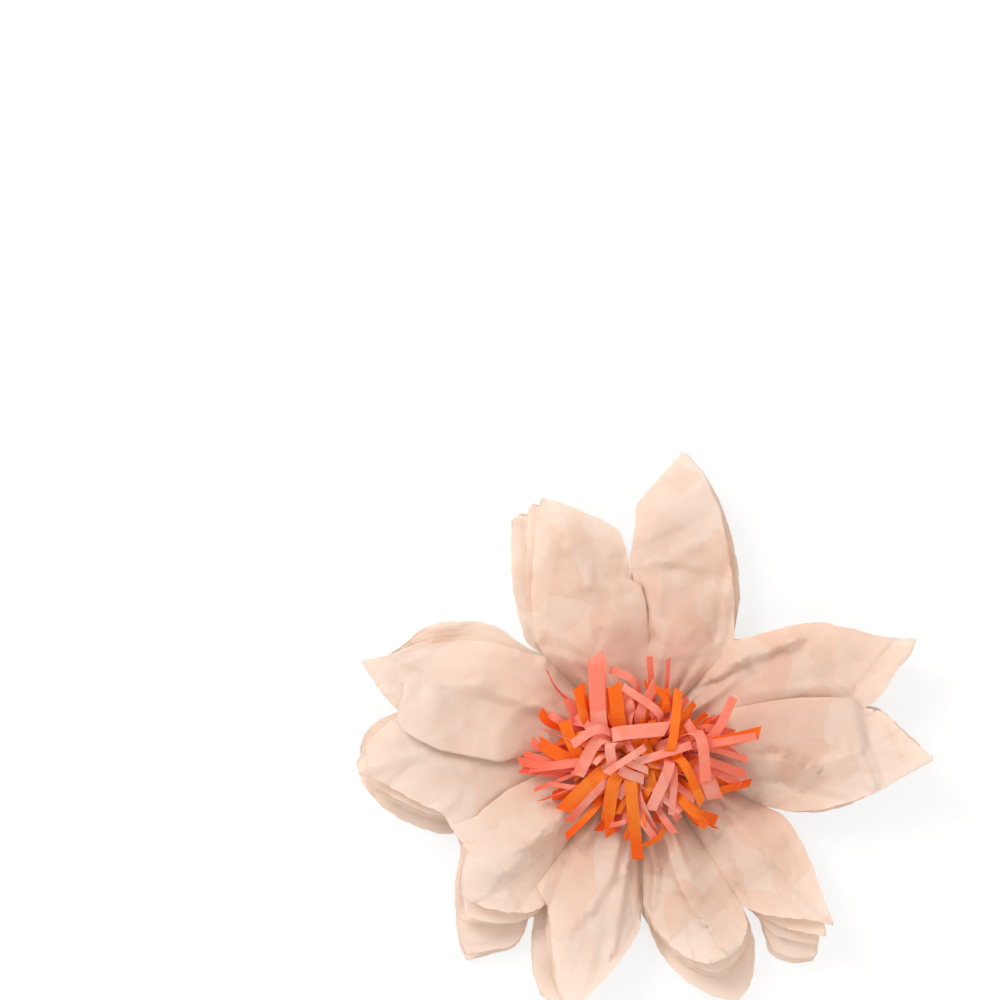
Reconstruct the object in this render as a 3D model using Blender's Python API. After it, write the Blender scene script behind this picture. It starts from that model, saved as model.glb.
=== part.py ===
"""Tissue paper flower, lying on its back with its face up.

Five sheets of tissue are pleated together, tied at the middle and fanned out to both sides.
Four shorter sheets, cut into strips at both ends, stand up from the same waist in front of them.
Units are metres and degrees. +X is to the right, +Y is to the top of the flower, +Z is its front.
The origin is the middle of the flat back of the binding band.
"""

import math

import bmesh
import bpy
import numpy as np

# Paper and binding
PAPER = 0.0004
SHEET_GAP = 0.0005
CLEARANCE = 0.0003
WAIST_WIDTH = 0.012
WAIST_HALF_LENGTH = 0.0034
WAIST_STAGGER = 0.0004
FAN_GAP = 0.0010
BAND_WIDTH = 0.0040
BAND_THICKNESS = 0.0008
BAND_CORNER = 0.0012
BAND_INNER_CORNER = 0.0006
BAND_CORNER_STEPS = 3

# Pleats of the petal sheets
PETAL_LAYERS = 5
PANEL_WIDTH = 0.050
RIDGE_HEIGHT = 0.021
RIDGE_FULL_RADIUS = 0.080
RIDGE_START_POWER = 2.0
RIDGE_END_RADIUS = 0.200
TIP_CREASE = 0.006
LAYER_SPREAD = 0.034
LAYER_RISE = 0.0035
SETTLE_RADIUS = 0.024
TIP_WIDTH = 0.005
ARCH_POWER = 0.8

# Fringe
FRINGE_LAYERS = 4
STRIPS_PER_END = 13
STRIP_WIDTH = 0.0100
STRIP_FILL = 0.88
FRINGE_LENGTH = 0.115
FRINGE_NARROWING = 0.15
FRINGE_UNEVEN = 0.04
FRINGE_JITTER = 2.0
FRINGE_TWIST = 12.0
FRINGE_SPREAD = 172.0
# Sheets of the fringe from the lowest: length as a share, angle at which it rises, and how far it bends over
FRINGE_SHEETS = ((1.0, 51.0, 54.0), (0.85, 60.0, 52.0), (0.71, 74.0, 48.0), (0.64, 88.0, 38.0))
# Steps from strip to strip, sheet to sheet and side to side of the waves that make the strips differ
LEAN_WAVE = (2.4, 1.7, 0.9)
LENGTH_WAVE = (3.1, 1.0, 0.0)

# Size of the opened flower: the radii in the tables below are shares of it
FLOWER_RADIUS = 0.250

# Valley folds of each fan, from the lower edge of the sheet to the upper one: direction and notch radius
RIGHT_VALLEYS = ((-88.9, 0.53), (-56.6, 0.64), (-24.5, 0.47), (11.0, 0.78), (49.0, 0.50), (92.6, 0.60))
LEFT_VALLEYS = ((271.1, 0.53), (232.5, 0.58), (201.8, 0.70), (170.0, 0.78), (135.6, 0.46), (92.6, 0.60))

# Petals of each fan in the same order: tip, shoulder beside the lower fold, shoulder beside the upper fold,
# how far the petal of the lowest layer is turned and lengthened against the one of the front layer,
# and how high its ridge fold stands as a share
RIGHT_PETALS = (
    ((-68.0, 0.83), (-79.0, 0.69), (-60.0, 0.78), 2.0, 1.13, 0.9),
    ((-41.0, 0.87), (-52.0, 0.78), (-32.0, 0.66), -9.0, 1.08, 0.9),
    ((-1.2, 0.99), (-12.0, 0.78), (7.0, 0.86), 3.0, 0.98, 1.0),
    ((22.0, 1.00), (13.0, 0.84), (33.0, 0.74), -3.0, 0.98, 0.6),
    ((82.4, 1.03), (67.5, 0.81), (91.0, 0.84), -3.0, 0.96, 0.8),
)
LEFT_PETALS = (
    ((251.5, 0.90), (262.0, 0.69), (240.0, 0.76), -5.0, 1.03, 0.9),
    ((219.0, 0.87), (229.0, 0.76), (209.0, 0.71), 10.0, 1.09, 1.0),
    ((186.0, 0.96), (197.0, 0.77), (177.0, 0.85), 7.0, 0.99, 0.35),
    ((162.5, 1.00), (168.5, 0.86), (148.0, 0.76), 4.0, 0.97, 1.0),
    ((112.2, 0.93), (125.0, 0.68), (97.5, 0.77), 6.5, 0.95, 0.9),
)

# Folds over which a petal of the front sheet leans: direction, the way it leans (1 towards larger angles),
# radii and how far its edge reaches past the fold there
OVERHANGS = (
    (170.0, 1, (0.14, 0.27, 0.38, 0.48, 0.58, 0.69, 0.76, 0.84),
     (0.0, 0.031, 0.062, 0.099, 0.093, 0.082, 0.055, 0.0)),
    (11.0, 1, (0.09, 0.17, 0.27, 0.35, 0.48, 0.57, 0.72, 0.78),
     (0.0, 0.021, 0.051, 0.069, 0.065, 0.055, 0.021, 0.0)),
    (201.8, -1, (0.10, 0.21, 0.34, 0.47, 0.55, 0.65), (0.0, 0.021, 0.048, 0.041, 0.014, 0.0)),
    (92.6, -1, (0.07, 0.14, 0.24, 0.34, 0.51, 0.60), (0.0, 0.034, 0.051, 0.045, 0.027, 0.0)),
)
# The edge of a leaning petal: share of the way from its fold to its ridge, rise for each length that it is
# carried over, and the reach below which it fades out
CREST_SHARE = 0.25
CREST_RISE = 0.36
CREST_START = 0.014

# Rows of the sheets as shares of the way to the notch, then from there to the tip
INNER_ROWS = (0.12, 0.27, 0.53, 0.75, 1.0)
OUTER_ROWS = (0.5, 1.0, 2.0)
COLUMNS_PER_PETAL = 4
FRINGE_ROWS = (0.10, 0.32, 0.65, 1.0)

COLOURS = {
    "peach_tissue": (0.85, 0.60, 0.46, 1.0),
    "orange_tissue": (0.93, 0.19, 0.03, 1.0),
    "salmon_tissue": (0.96, 0.40, 0.30, 1.0),
    "band_paper": (0.80, 0.72, 0.64, 1.0),
}
PAPER_ROUGHNESS = 0.9

PITCH = PAPER + SHEET_GAP
LAYERS = PETAL_LAYERS + FRINGE_LAYERS
BUNDLE_BOTTOM = BAND_THICKNESS + CLEARANCE
BUNDLE_HEIGHT = LAYERS * PITCH - SHEET_GAP


def smooth(t):
    """Zero at 0 and one at 1, level at both ends."""
    t = np.clip(t, 0.0, 1.0)
    return t * t * (3.0 - 2.0 * t)


def polar(angle, radius):
    """Plan point at an angle in degrees and a radius."""
    return radius * np.array((math.cos(math.radians(angle)), math.sin(math.radians(angle))))


def waist_height(layer):
    """Middle of the paper of a layer where the band holds it."""
    return BUNDLE_BOTTOM + layer * PITCH + PAPER / 2


def waist_end(layer):
    """Distance from the band's middle to the end of a layer's flat waist, longer on the lower layers."""
    return WAIST_HALF_LENGTH + WAIST_STAGGER * (LAYERS - 1 - layer)


def arch(side, x, y):
    """Height of the pleats over a plan point as a share, 0 in a valley fold and 1 on a ridge fold."""
    valleys = RIGHT_VALLEYS if side > 0 else LEFT_VALLEYS
    petals = RIGHT_PETALS if side > 0 else LEFT_PETALS
    radius = math.hypot(x, y)
    angle = math.degrees(math.atan2(y, x))
    if side < 0:
        angle %= 360.0
    best = 0.0
    for (first, _), (second, _), petal in zip(valleys, valleys[1:], petals):
        middle = (first + second) / 2
        half = abs(second - first) / 2
        reach = math.degrees(math.asin(min(1.0, PANEL_WIDTH / max(radius, PANEL_WIDTH))))
        share = abs(angle - middle) / min(half, reach)
        if share < 1.0:
            best = max(best, petal[5] * math.cos(share * math.pi / 2) ** ARCH_POWER)
    return best


def ridge(radius):
    """Height of the ridge folds at a radius: they rise from the waist and flatten towards the tips."""
    rise = math.sin(min(1.0, radius / RIDGE_FULL_RADIUS) * math.pi / 2) ** RIDGE_START_POWER
    fall = smooth((radius - RIDGE_FULL_RADIUS) / (RIDGE_END_RADIUS - RIDGE_FULL_RADIUS))
    return rise * (RIDGE_HEIGHT * (1 - fall) + TIP_CREASE * fall)


def lift(layer, radius):
    """Height of the valley folds of a layer at a radius. The lowest layer comes down to the table."""
    settled = smooth(radius / SETTLE_RADIUS)
    base = waist_height(layer) - BUNDLE_BOTTOM * settled
    outer = (radius / RIDGE_END_RADIUS) ** 2
    return base + layer * (LAYER_SPREAD * radius + LAYER_RISE * outer)


def overhang(fold, middle):
    """The row of OVERHANGS for a petal's edge on a fold, or None where the petal doesn't lean over it."""
    for row in OVERHANGS:
        if row[0] == fold and (fold - middle) * row[1] > 0:
            return row
    return None


def crest(row, half_angle, radius):
    """How far in degrees, and how high, the column beside a fold is carried over it at a radius."""
    reach = float(np.interp(radius / FLOWER_RADIUS, row[2], row[3]))
    inside = CREST_SHARE * math.radians(half_angle) * radius
    width = reach * FLOWER_RADIUS + inside * float(smooth(reach / CREST_START))
    return row[1] * math.degrees(width / radius), CREST_RISE * width


def outline_point(petal, point, layer):
    """A tip or shoulder of a petal as it lies in one layer: the lower layers are turned and lengthened."""
    turn, length = petal[3:5]
    back = (PETAL_LAYERS - 1 - layer) / max(1, PETAL_LAYERS - 1)
    return polar(point[0] + turn * back, point[1] * FLOWER_RADIUS * (1.0 + (length - 1.0) * back))


def petal_rows(petal, fold, aside, shoulder, layer):
    """Plan points along one edge of a petal: from the waist to the notch, the shoulder and the tip."""
    along = polar(fold[0], fold[1] * FLOWER_RADIUS)
    notch = along + aside
    tip = outline_point(petal, petal[0], layer)
    point = outline_point(petal, shoulder, layer)
    inward = point - tip
    edge_of_tip = tip + inward / np.linalg.norm(inward) * TIP_WIDTH / 2
    rows = [along * share + aside for share in INNER_ROWS]
    for share in OUTER_ROWS:
        if share <= 1.0:
            rows.append(notch + (point - notch) * share)
        else:
            rows.append(point + (edge_of_tip - point) * (share - 1.0))
    return rows


def middle_rows(first_edge, second_edge, tip):
    """Plan points along a petal's ridge fold, level with the rows of its two edges."""
    way = tip / np.linalg.norm(tip)
    rows = [way * ((first + second) @ way) / 2 for first, second in zip(first_edge[:-1], second_edge[:-1])]
    return rows + [tip]


def fan(mesh, side, layer, waist):
    """Adds one side of a petal sheet: five pleated petals that share their valley folds up to the notches."""
    valleys = RIGHT_VALLEYS if side > 0 else LEFT_VALLEYS
    petals = RIGHT_PETALS if side > 0 else LEFT_PETALS
    half = COLUMNS_PER_PETAL // 2
    shared = {}

    def vertex(key, point, row=None, half_angle=0.0):
        if key not in shared:
            x, y = float(point[0]), float(point[1])
            radius = math.hypot(x, y)
            z = lift(layer, radius) + ridge(radius) * arch(side, x, y)
            if row:
                turn, rise = crest(row, half_angle, radius)
                x, y = polar(math.degrees(math.atan2(y, x)) + turn, radius)
                z += rise
            shared[key] = mesh.verts.new((x, y, z))
        return shared[key]

    for number, petal in enumerate(petals):
        first = number * COLUMNS_PER_PETAL
        folds = (valleys[number][0], valleys[number + 1][0])
        half_angle = abs(folds[1] - folds[0]) / 2
        leaning = [overhang(fold, sum(folds) / 2) if layer == PETAL_LAYERS - 1 else None for fold in folds]
        at_edge = np.array((side * FAN_GAP / 2, 0.0))
        lower = petal_rows(petal, valleys[number], at_edge * (number == 0), petal[1], layer)
        upper = petal_rows(petal, valleys[number + 1], at_edge * (number == len(petals) - 1), petal[2], layer)
        middle = middle_rows(lower, upper, outline_point(petal, petal[0], layer))
        previous = [waist[first + c] for c in range(COLUMNS_PER_PETAL + 1)]
        for row in range(len(lower)):
            current = []
            for column in range(COLUMNS_PER_PETAL + 1):
                edge, over = (lower, leaning[0]) if column <= half else (upper, leaning[1])
                inward = 1.0 - abs(column - half) / half
                beside_fold = over and 0.0 < inward < 1.0
                point = edge[row] + (middle[row] - edge[row]) * (CREST_SHARE if beside_fold else inward)
                on_fold = column in (0, COLUMNS_PER_PETAL) and row < len(INNER_ROWS)
                key = (row, first + column) if on_fold else (row, first + column, number)
                current.append(vertex(key, point, over if beside_fold else None, half_angle))
            for column in range(COLUMNS_PER_PETAL):
                corners = (previous[column], current[column], current[column + 1], previous[column + 1])
                mesh.faces.new(corners if side > 0 else corners[::-1])
            previous = current


def petal_sheet(layer):
    """One pleated sheet: a strip of faces at the waist and a fan of petals on each side of it."""
    mesh = bmesh.new()
    columns = COLUMNS_PER_PETAL * len(RIGHT_PETALS)
    across = np.linspace(-WAIST_WIDTH / 2, WAIST_WIDTH / 2, columns + 1)
    ends = {}
    for side in (1, -1):
        ends[side] = [mesh.verts.new((side * waist_end(layer), y, waist_height(layer))) for y in across]
    for column in range(columns):
        mesh.faces.new((ends[-1][column], ends[1][column], ends[1][column + 1], ends[-1][column + 1]))
    for side in (1, -1):
        fan(mesh, side, layer, ends[side])
    body = finished(mesh, f"petal_sheet_{layer + 1}", "peach_tissue")
    wall = body.modifiers.new("Paper", "SOLIDIFY")
    wall.thickness = PAPER
    wall.offset = 0.0
    wall.use_even_offset = False
    return body


def strip_sections(side, start, layer, number):
    """Centre, half width and half thickness of the sections along one strip of a fringe sheet."""
    angle = math.radians(FRINGE_SPREAD * ((number + 0.5) / STRIPS_PER_END - 0.5))
    wave, uneven = (math.sin(np.dot(steps, (number, layer, side))) for steps in (LEAN_WAVE, LENGTH_WAVE))
    share, rising, bend = FRINGE_SHEETS[layer]
    elevation = math.radians(rising + FRINGE_JITTER * wave)
    droop = math.radians(bend)
    length = FRINGE_LENGTH * share * (1.0 - FRINGE_UNEVEN + FRINGE_UNEVEN * uneven)
    length *= 1.0 - FRINGE_NARROWING * math.sin(angle) ** 2
    out = np.array((side * math.cos(angle), math.sin(angle), 0.0))
    across = np.array((-side * math.sin(angle), math.cos(angle), 0.0))
    up = np.array((0.0, 0.0, 1.0))
    spacing = math.radians(FRINGE_SPREAD / STRIPS_PER_END)
    spine = np.array(start, dtype=float)
    before = 0.0
    for row in FRINGE_ROWS:
        tilt = elevation - droop * (row + before) / 2
        spine = spine + (out * math.cos(tilt) + up * math.sin(tilt)) * length * (row - before)
        before = row
        reach = math.hypot(spine[0] - start[0], spine[1] - start[1])
        half = min(STRIP_WIDTH, STRIP_FILL * reach * spacing) / 2
        aside = np.array((side * half * abs(math.sin(angle)), 0.0, 0.0))
        tilt = elevation - droop * row
        normal = up * math.cos(tilt) - out * math.sin(tilt)
        twist = math.radians(FRINGE_TWIST) * wave * float(smooth(row))
        sideways = across * math.cos(twist) + normal * math.sin(twist)
        thick = (normal * math.cos(twist) - across * math.sin(twist)) * PAPER / 2
        yield spine + aside, sideways * half, thick


def fringe_sheet(layer):
    """One fringe sheet: a flat middle under the band, cut into strips on both sides of it."""
    mesh = bmesh.new()
    z = waist_height(PETAL_LAYERS + layer)
    across = np.linspace(-WAIST_WIDTH / 2, WAIST_WIDTH / 2, STRIPS_PER_END + 1)
    top = {}
    bottom = {}
    for side in (1, -1):
        x = side * waist_end(PETAL_LAYERS + layer)
        top[side] = [mesh.verts.new((x, y, z + PAPER / 2)) for y in across]
        bottom[side] = [mesh.verts.new((x, y, z - PAPER / 2)) for y in across]
    for i in range(STRIPS_PER_END):
        mesh.faces.new((top[-1][i], top[1][i], top[1][i + 1], top[-1][i + 1]))
        mesh.faces.new((bottom[-1][i], bottom[-1][i + 1], bottom[1][i + 1], bottom[1][i]))
    for i in (0, STRIPS_PER_END):
        mesh.faces.new((bottom[-1][i], bottom[1][i], top[1][i], top[-1][i]))
    for side in (1, -1):
        for i in range(STRIPS_PER_END):
            start = (side * waist_end(PETAL_LAYERS + layer), (across[i] + across[i + 1]) / 2, z)
            ring = [bottom[side][i], bottom[side][i + 1], top[side][i + 1], top[side][i]]
            for centre, half, thick in strip_sections(side, start, layer, i):
                corners = (-half - thick, half - thick, half + thick, -half + thick)
                following = [mesh.verts.new(centre + corner) for corner in corners]
                for k in range(4):
                    mesh.faces.new((ring[k], ring[(k + 1) % 4], following[(k + 1) % 4], following[k]))
                ring = following
            mesh.faces.new(ring)
    colour = "orange_tissue" if layer % 2 == 0 else "salmon_tissue"
    return finished(mesh, f"fringe_sheet_{layer + 1}", colour)


def binding_band():
    """A flat band round the waist, lying on the table with its back."""
    inner_width = WAIST_WIDTH + 2 * CLEARANCE
    inner_height = BUNDLE_HEIGHT + 2 * CLEARANCE
    mesh = bmesh.new()
    loops = []
    for x in (-BAND_WIDTH / 2, BAND_WIDTH / 2):
        for grow in (0.0, BAND_THICKNESS):
            outline = band_outline(inner_width, inner_height, grow)
            loops.append([mesh.verts.new((x, y, z)) for y, z in outline])
    inner_back, outer_back, inner_front, outer_front = loops
    count = len(inner_back)
    for i in range(count):
        j = (i + 1) % count
        mesh.faces.new((outer_back[i], outer_back[j], outer_front[j], outer_front[i]))
        mesh.faces.new((inner_back[j], inner_back[i], inner_front[i], inner_front[j]))
        mesh.faces.new((inner_back[i], inner_back[j], outer_back[j], outer_back[i]))
        mesh.faces.new((outer_front[i], outer_front[j], inner_front[j], inner_front[i]))
    return finished(mesh, "binding_band", "band_paper")


def band_outline(width, height, grow):
    """Rounded rectangle in the YZ plane, its inner bottom at the top of the band's back wall."""
    points = []
    corner = BAND_CORNER if grow > 0 else BAND_INNER_CORNER
    for index, (sign_y, sign_z) in enumerate(((1, 1), (-1, 1), (-1, -1), (1, -1))):
        for step in range(BAND_CORNER_STEPS + 1):
            turn = math.pi / 2 * (index + step / BAND_CORNER_STEPS)
            y = sign_y * (width / 2 + grow - corner) + corner * math.cos(turn)
            z = sign_z * (height / 2 + grow - corner) + corner * math.sin(turn)
            points.append((y, z + BAND_THICKNESS + height / 2))
    return points


def tissue(name):
    """Principled material of one of the papers."""
    material = bpy.data.materials.get(name)
    if material is None:
        material = bpy.data.materials.new(name)
        material.use_nodes = True
        shader = material.node_tree.nodes["Principled BSDF"]
        shader.inputs["Base Color"].default_value = COLOURS[name]
        shader.inputs["Roughness"].default_value = PAPER_ROUGHNESS
        shader.inputs["Metallic"].default_value = 0.0
    return material


def finished(mesh, name, material):
    """Turns a bmesh into a named object with outward faces and its own material."""
    bmesh.ops.recalc_face_normals(mesh, faces=mesh.faces)
    data = bpy.data.meshes.new(name)
    mesh.to_mesh(data)
    mesh.free()
    body = bpy.data.objects.new(name, data)
    bpy.context.scene.collection.objects.link(body)
    body.data.materials.append(tissue(material))
    return body


def main():
    for other in list(bpy.data.objects):
        bpy.data.objects.remove(other)
    binding_band()
    for layer in range(PETAL_LAYERS):
        petal_sheet(layer)
    for layer in range(FRINGE_LAYERS):
        fringe_sheet(layer)


main()
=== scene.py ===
# %% [markdown]
# # A tissue paper flower
# The real thing is a party decoration. Five sheets of peach tissue are pleated together, tied at the
# middle, cut to points and fanned out into ten petals. Four shorter sheets, cut into strips, stand up
# from the same tie as a fringe of orange and salmon. The CAD frame holds each sheet as a plain solid.
# Here every sheet is built again with its folds, creases and cut edges, and takes its solid's place.

import bmesh
import bpy
import numpy as np
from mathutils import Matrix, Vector


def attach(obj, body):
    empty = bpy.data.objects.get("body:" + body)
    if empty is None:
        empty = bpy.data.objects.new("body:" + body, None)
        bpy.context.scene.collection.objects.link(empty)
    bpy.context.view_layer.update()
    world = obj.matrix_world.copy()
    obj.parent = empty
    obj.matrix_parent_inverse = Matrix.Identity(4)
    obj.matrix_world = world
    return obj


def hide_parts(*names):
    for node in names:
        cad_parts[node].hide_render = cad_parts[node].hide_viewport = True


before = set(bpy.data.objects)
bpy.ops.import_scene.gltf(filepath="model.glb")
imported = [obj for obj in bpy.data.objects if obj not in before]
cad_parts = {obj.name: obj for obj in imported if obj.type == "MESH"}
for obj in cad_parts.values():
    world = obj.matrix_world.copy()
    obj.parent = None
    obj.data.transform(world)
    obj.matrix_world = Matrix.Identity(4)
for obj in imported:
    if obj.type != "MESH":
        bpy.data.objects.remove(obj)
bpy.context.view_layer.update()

# %% [markdown]
# The flower is drawn from the picture, so its outlines are easiest to write down in picture pixels. One
# scale and one centre turn them into metres in the frame. The picture's up is the frame's +Y, and the
# front of the flower is +Z. The sizes of the paper and of the tie repeat those of the CAD source.

# %% Scale and sizes
PIXEL = 0.000857
FLOWER_CENTRE = np.array((640.0, 750.0))
PAPER = 0.0004
PITCH = 0.0009
PETAL_LAYERS = 5
FRONT = PETAL_LAYERS - 1
FRINGE_LAYERS = 4
LAYERS = PETAL_LAYERS + FRINGE_LAYERS
BUNDLE_BOTTOM = 0.0011
WAIST_WIDTH = 0.012
WAIST_HALF_LENGTH = 0.0034
WAIST_STAGGER = 0.0004
FAN_GAP = 0.0010


def plan(points):
    """Picture pixels, y down, as plan points in metres: subtract the centre, scale, and turn y up."""
    return (np.asarray(points, float) - FLOWER_CENTRE) * PIXEL * (1, -1)


def smooth(t):
    """Zero at 0, one at 1, level at both ends: t squared times (3 - 2t)."""
    t = np.clip(t, 0.0, 1.0)
    return t * t * (3.0 - 2.0 * t)


def polar(angle, radius):
    """Plan points at angles in degrees and radii in metres."""
    turn = np.radians(angle)
    return np.stack((radius * np.cos(turn), radius * np.sin(turn)), axis=-1)


def waist_height(layer):
    """Height of a layer where the tie holds it: the layers lie on each other, one pitch apart."""
    return BUNDLE_BOTTOM + layer * PITCH + PAPER / 2


def waist_end(layer):
    """Half length of a layer's flat waist: the lower layers reach a little further out."""
    return WAIST_HALF_LENGTH + WAIST_STAGGER * (LAYERS - 1 - layer)


# %% [markdown]
# Each fan has six valley folds and five petals between them. A petal is joined to its neighbour along
# the fold, up to the notch where the cut begins. Beyond the notch its outline follows the picture. The
# front sheet and the backmost sheet were cut alike, but they opened differently, so each petal has one
# outline for the front and one for the back, and the sheets between share them out.

# %% Valley folds and outlines
# direction in degrees and notch radius in metres, from the lower edge of a sheet to the upper one
VALLEYS = {
    1: ((-88.9, 0.133), (-56.6, 0.160), (-24.5, 0.117), (11.0, 0.195), (49.0, 0.124), (92.6, 0.149)),
    -1: ((271.1, 0.133), (232.5, 0.146), (201.8, 0.175), (170.0, 0.195), (135.6, 0.115), (92.6, 0.149)),
}

# for each petal: outline beside its first fold and beside its second, both from the notch to the tip,
# as on the front sheet and then as on the back sheet; last the height of its ridge fold as a share
PETALS = {
    1: (
        (((653, 925), (671, 945), (687, 956), (706, 961)),
         ((747, 925), (741, 943), (727, 955), (706, 961)),
         ((652, 935), (668, 962), (690, 983), (715, 997), (742, 1004)),
         ((750, 922), (757, 945), (757, 975), (752, 995), (742, 1004)), 0.9),
        (((762, 913), (780, 915), (810, 917), (831, 922)),
         ((783, 814), (800, 838), (813, 868), (822, 897), (831, 922)),
         ((760, 922), (764, 945), (768, 962), (790, 971), (813, 968)),
         ((786, 822), (800, 850), (812, 882), (820, 925), (813, 968)), 0.9),
        (((790, 811), (820, 809), (850, 800), (876, 789), (902, 773), (929, 757)),
         ((882, 711), (905, 735), (929, 755)),
         ((790, 813), (820, 812), (850, 803), (878, 787), (903, 768), (925, 750)),
         ((883, 710), (906, 731), (925, 748)), 1.0),
        (((872, 702), (883, 688), (895, 667), (907, 654), (912, 637)),
         ((760, 634), (790, 625), (818, 621), (850, 628), (880, 636), (912, 637)),
         ((868, 703), (879, 694), (890, 674), (906, 656)),
         ((760, 640), (790, 632), (820, 630), (850, 635), (882, 645), (906, 654)), 0.6),
        (((734, 600), (729, 560), (719, 512), (701, 473), (681, 451)),
         ((629, 560), (634, 530), (635, 505), (657, 479), (681, 451)),
         ((742, 600), (738, 560), (729, 525), (714, 497), (694, 472)),
         ((637, 545), (643, 515), (651, 500), (670, 482), (694, 472)), 0.8),
    ),
    -1: (
        (((641, 926), (630, 946), (608, 972), (585, 994), (568, 1003)),
         ((549, 909), (552, 945), (557, 980), (568, 1003)),
         ((640, 930), (626, 952), (600, 977), (572, 997), (545, 1005)),
         ((534, 912), (529, 945), (530, 975), (538, 1000)), 0.9),
        (((547, 904), (530, 912), (510, 911), (485, 906), (461, 894)),
         ((468, 850), (462, 872), (461, 894)),
         ((532, 915), (524, 942), (515, 954), (492, 959), (467, 966)),
         ((462, 852), (455, 885), (456, 920), (459, 948), (467, 966)), 1.0),
        (((443, 812), (424, 804), (403, 792), (381, 780), (359, 771)),
         ((400, 713), (382, 727), (367, 742), (357, 762)),
         ((456, 838), (435, 836), (405, 824), (378, 806), (361, 784)),
         ((396, 716), (374, 729), (364, 738), (358, 755), (362, 774)), 0.35),
        (((397, 708), (385, 694), (374, 678), (362, 659)),
         ((530, 655), (505, 645), (475, 640), (440, 642), (412, 648), (388, 654), (362, 659)),
         ((404, 704), (396, 694), (387, 680), (381, 666)),
         ((524, 648), (502, 632), (480, 625), (440, 626), (420, 632), (404, 648), (381, 664)), 1.0),
        (((536, 640), (531, 600), (533, 560), (536, 520), (541, 497)),
         ((628, 560), (621, 533), (609, 523), (588, 514), (562, 503), (541, 497)),
         ((526, 645), (517, 610), (512, 580), (511, 545), (512, 518)),
         ((610, 548), (580, 533), (545, 523), (526, 517), (512, 517)), 0.9),
    ),
}
# share of the back outline on each sheet, from the lowest sheet to the front one
BACK_SHARE = (1.0, 0.90, 0.34, 0.17, 0.0)
# how far each petal of each sheet strays from that: a share of the back outline, and a turn in degrees
STRAY = np.random.default_rng(31).normal(0, 1, (2, 5, PETAL_LAYERS, 2)) * (0.10, 0.9)
STRAY[:, :, -1] = 0
# turn in degrees of each sheet's lower edge at six o'clock, away from the other fan: the lowest sheet of the
# right fan reaches under the left one, and the left one's makes room for it
EDGE_TURN = {1: (-2.5, 0.0, 0.7, 1.5, 2.5), -1: (2.5, 0.0, 0.6, 1.3, 2.2)}
# there the sheets lie close under the front one, this far below each other, over this many degrees
EDGE_PITCH = 0.0016
EDGE_SPAN = 7.0
EDGE_START = 0.03

# %% [markdown]
# A fold seen from above is a line with two flanks. A crease in tissue has one steep flank and one long
# gentle one, so one function adds tents with two different widths along a table of lines. The main
# creases stand where the picture shows them. Hundreds of small seeded ones make the paper look handled.

# %% Creases
CREASE_GAIN = 1.5
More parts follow.
